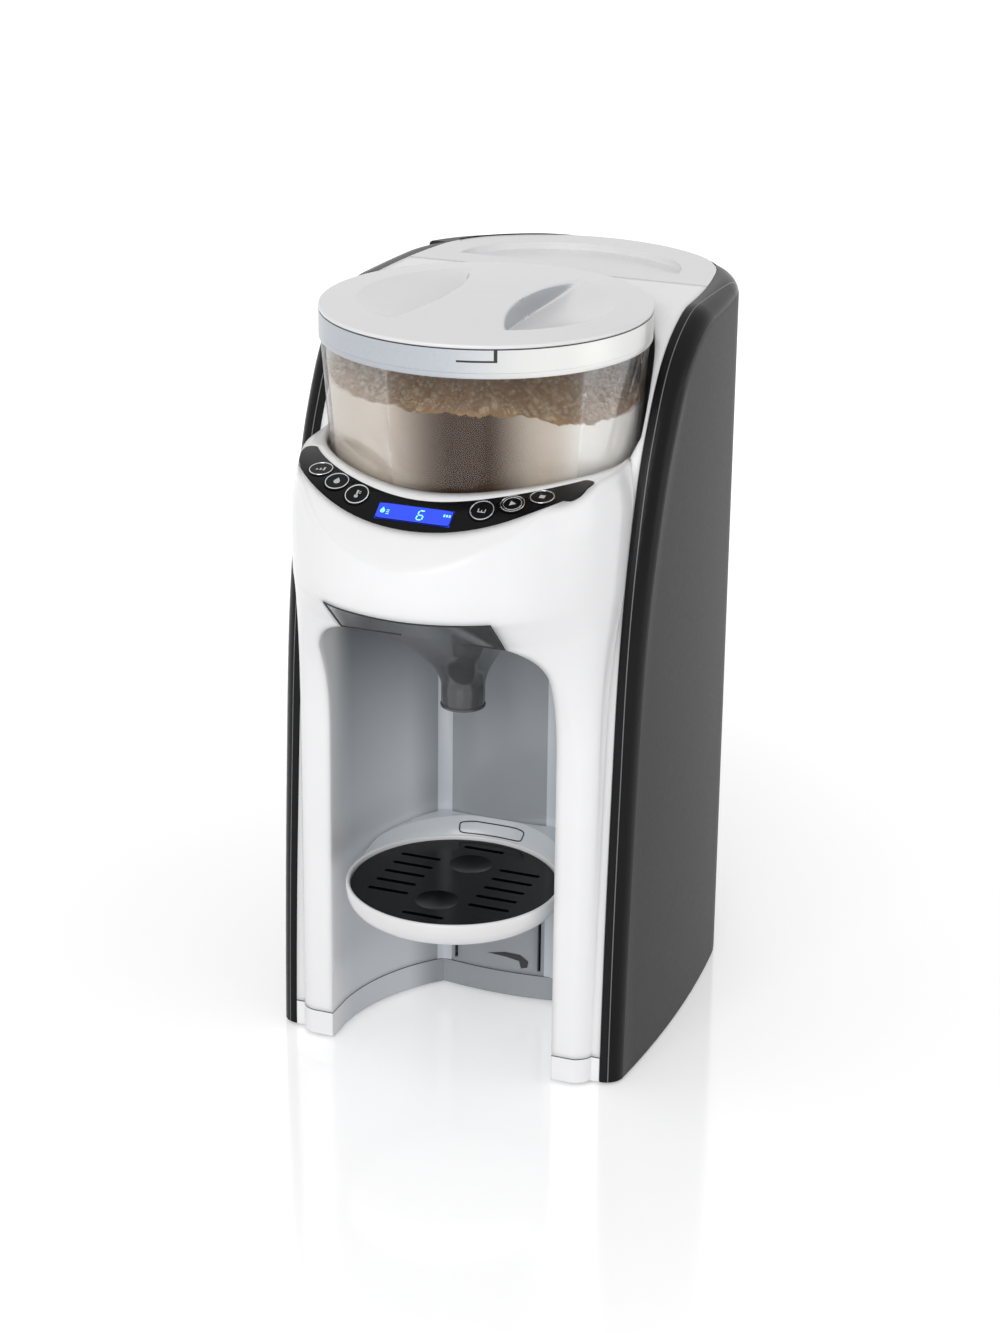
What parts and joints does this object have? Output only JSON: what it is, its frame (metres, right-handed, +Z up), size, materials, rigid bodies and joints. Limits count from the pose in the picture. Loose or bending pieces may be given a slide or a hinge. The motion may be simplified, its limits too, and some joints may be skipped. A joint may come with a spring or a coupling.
{
  "type": "baby formula maker",
  "caption": "Countertop baby formula maker: powder container over a mixing funnel drawer, bottle bay with stand, rear water tank and a crescent control panel.",
  "frame": {"origin": "middle of the floor under the machine", "axes": "+Z up, the front faces -Y, +X to the viewer's right"},
  "size_m": [0.1848, 0.2828, 0.3715],
  "materials": {
    "white_gloss": "glossy white ABS",
    "dark_plastic": "satin dark grey ABS",
    "grey_plastic": "moulded grey",
    "gear_plastic": "natural acetal",
    "steel": "plated steel",
    "black_gloss": "glossy black",
    "lcd": "blue display glass",
    "circuit_board": "green circuit board",
    "clear_plastic": "clear polycarbonate",
    "silver_plastic": "silver painted",
    "powder": "milk powder",
    "smoky_plastic": "smoky grey, see-through",
    "tank_plastic": "clear grey",
    "seal_rubber": "grey silicone",
    "hose_rubber": "silicone hose",
    "foot_rubber": "dark rubber"
  },
  "bodies": {
    "machine": {"front_housing": "white_gloss", "base_plate": "white_gloss", "right_side_panel": "dark_plastic", "left_side_panel": "dark_plastic", "rear_cover": "dark_plastic", "inner_frame": "grey_plastic", "container_seat": "white_gloss", "gear_plate": "steel", "drive_motor": "steel", "control_panel": "black_gloss", "display_window": "lcd", "display_board": "circuit_board", "drawer_rails": "grey_plastic", "water_pump": "grey_plastic", "water_heater": "steel", "pump_hose": "hose_rubber", "outlet_hose": "hose_rubber", "spray_nozzle": "grey_plastic", "main_board": "circuit_board", "switch_body": "dark_plastic", "cord_inlet": "dark_plastic", "rubber_feet": "foot_rubber"},
    "drive_coupling": {"drive_coupling": "grey_plastic", "drive_gear": "gear_plastic"},
    "idler": {"idler_gear": "gear_plastic"},
    "pinion": {"motor_shaft": "steel", "motor_pinion": "gear_plastic"},
    "container": {"powder_container": "clear_plastic", "container_collar": "silver_plastic", "powder_fill": "powder"},
    "lid": {"container_lid": "white_gloss"},
    "agitator": {"drive_spindle": "clear_plastic", "portion_wheel": "clear_plastic", "stirring_wheel": "clear_plastic"},
    "funnel_drawer": {"funnel_cover": "smoky_plastic", "mixing_funnel": "smoky_plastic"},
    "bottle_stand": {"bottle_stand": "white_gloss"},
    "grille": {"drip_grille": "black_gloss"},
    "tank": {"water_tank": "tank_plastic", "tank_valve": "seal_rubber"},
    "tank_lid": {"tank_lid": "white_gloss"},
    "power_rocker": {"power_rocker": "black_gloss"},
    "temperature_button": {"temperature_button": "black_gloss"},
    "amount_button": {"amount_button": "black_gloss"},
    "strength_button": {"strength_button": "black_gloss"},
    "units_button": {"units_button": "black_gloss"},
    "start_button": {"start_button": "black_gloss"},
    "stop_button": {"stop_button": "black_gloss"}
  },
  "joints": [
    {"name": "drive_spin", "type": "hinge", "parent": "machine", "child": "drive_coupling", "pos_m": [0, -0.0313, 0.258], "axis": [0, 0, 1], "continuous": true},
    {"name": "idler_spin", "type": "hinge", "parent": "machine", "child": "idler", "pos_m": [0, -0.00095, 0.258], "axis": [0, 0, 1], "continuous": true},
    {"name": "motor_spin", "type": "hinge", "parent": "machine", "child": "pinion", "pos_m": [0, 0.0264, 0.258], "axis": [0, 0, 1], "continuous": true},
    {"name": "container_lift", "type": "slide", "parent": "machine", "child": "container", "axis": [0, 0, 1], "range_m": [0, 0.12]},
    {"name": "lid_lift", "type": "slide", "parent": "container", "child": "lid", "axis": [0, 0, 1], "range_m": [0, 0.08]},
    {"name": "agitator_spin", "type": "hinge", "parent": "container", "child": "agitator", "pos_m": [0, -0.0313, 0.285], "axis": [0, 0, 1], "continuous": true},
    {"name": "funnel_drawer_slide", "type": "slide", "parent": "machine", "child": "funnel_drawer", "axis": [0, -1, 0], "range_m": [0, 0.1]},
    {"name": "stand_height", "type": "slide", "parent": "machine", "child": "bottle_stand", "axis": [0, 0, 1], "range_m": [-0.055, 0]},
    {"name": "grille_lift", "type": "slide", "parent": "bottle_stand", "child": "grille", "axis": [0, 0, 1], "range_m": [0, 0.06]},
    {"name": "tank_lift", "type": "slide", "parent": "machine", "child": "tank", "axis": [0, 0, 1], "range_m": [0, 0.3]},
    {"name": "tank_lid_lift", "type": "slide", "parent": "tank", "child": "tank_lid", "axis": [0, 0, 1], "range_m": [0, 0.06]},
    {"name": "temperature_button_press", "type": "slide", "parent": "machine", "child": "temperature_button", "axis": [0, 0.5311, -0.8473], "range_m": [0, 0.0008], "stiffness_N_per_m": 900, "springref_m": -0.0003},
    {"name": "amount_button_press", "type": "slide", "parent": "machine", "child": "amount_button", "axis": [0, 0.3776, -0.926], "range_m": [0, 0.0008], "stiffness_N_per_m": 900, "springref_m": -0.0003},
    {"name": "strength_button_press", "type": "slide", "parent": "machine", "child": "strength_button", "axis": [0, 0.2248, -0.9744], "range_m": [0, 0.0008], "stiffness_N_per_m": 900, "springref_m": -0.0003},
    {"name": "units_button_press", "type": "slide", "parent": "machine", "child": "units_button", "axis": [0, 0.5311, -0.8473], "range_m": [0, 0.0008], "stiffness_N_per_m": 900, "springref_m": -0.0003},
    {"name": "start_button_press", "type": "slide", "parent": "machine", "child": "start_button", "axis": [0, 0.3776, -0.926], "range_m": [0, 0.0008], "stiffness_N_per_m": 900, "springref_m": -0.0003},
    {"name": "stop_button_press", "type": "slide", "parent": "machine", "child": "stop_button", "axis": [0, 0.2248, -0.9744], "range_m": [0, 0.0008], "stiffness_N_per_m": 900, "springref_m": -0.0003},
    {"name": "power_rock", "type": "hinge", "parent": "machine", "child": "power_rocker", "pos_m": [-0.02717, 0.13466, 0.032], "axis": [0.9609, 0.2769, 0], "range_deg": [-14, 0]}
  ],
  "couplings": [
    {"joint": "idler_spin", "follows": "drive_spin", "ratio": -0.81818},
    {"joint": "motor_spin", "follows": "drive_spin", "ratio": 1.2857},
    {"joint": "agitator_spin", "follows": "drive_spin", "ratio": 1}
  ]
}
